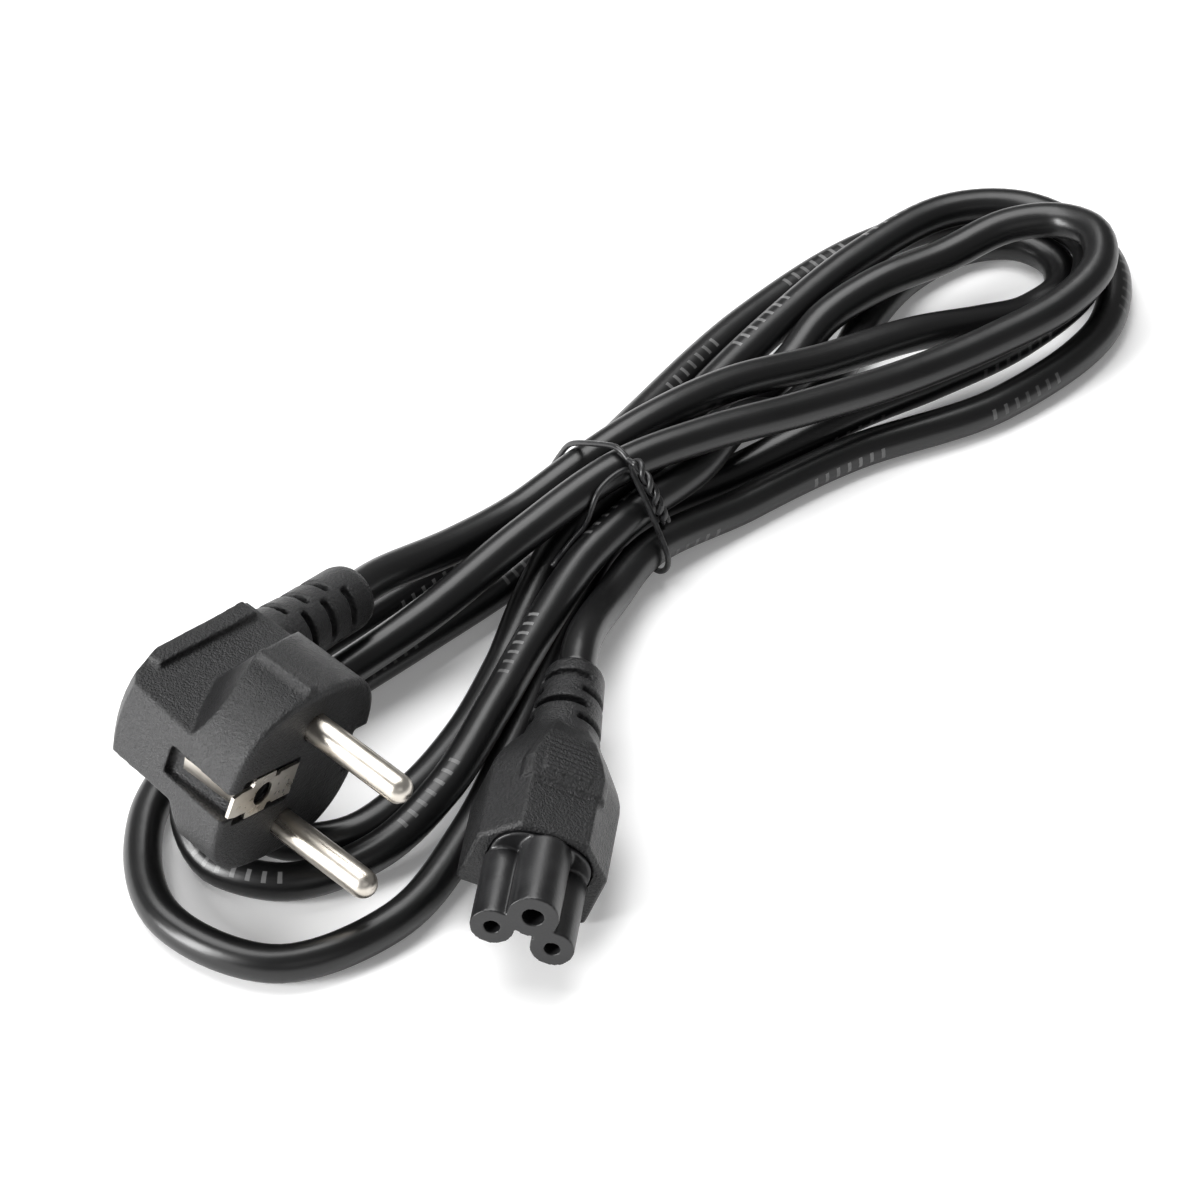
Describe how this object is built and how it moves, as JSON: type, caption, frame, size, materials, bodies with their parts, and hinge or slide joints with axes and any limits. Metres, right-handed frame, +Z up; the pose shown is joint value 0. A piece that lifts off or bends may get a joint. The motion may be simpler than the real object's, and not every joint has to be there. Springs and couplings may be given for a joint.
{
  "type": "laptop power cord",
  "caption": "Mains lead for a laptop charger, folded into a hank and held by a twist tie, with a round earthed plug on one end and a three-lobed connector on the other.",
  "frame": {"origin": "On the floor under the middle of the folded cord's box, with the cord lying flat.", "axes": "+Z up. The hank runs from the plug's side at -X -Y to its free folds at +X +Y, and the connector points along -Y."},
  "size_m": [0.1687, 0.1972, 0.0435],
  "materials": {
    "moulded_pvc": "satin, fine moulded grain",
    "insert_plastic": "satin",
    "cord_jacket": "smooth PVC with a soft sheen",
    "nickel_plate": "bright nickel plate, slightly warm",
    "contact_brass": "plain",
    "tie_coating": "plastic coat over wire"
  },
  "bodies": {
    "root": {"plug_body": "moulded_pvc", "line_pin": "nickel_plate", "neutral_pin": "nickel_plate", "earth_contact": "nickel_plate", "cord": "cord_jacket", "connector_body": "moulded_pvc", "connector_insert": "insert_plastic", "contact_line": "contact_brass", "contact_neutral": "contact_brass", "contact_earth": "contact_brass", "twist_tie": "tie_coating"}
  },
  "joints": []
}
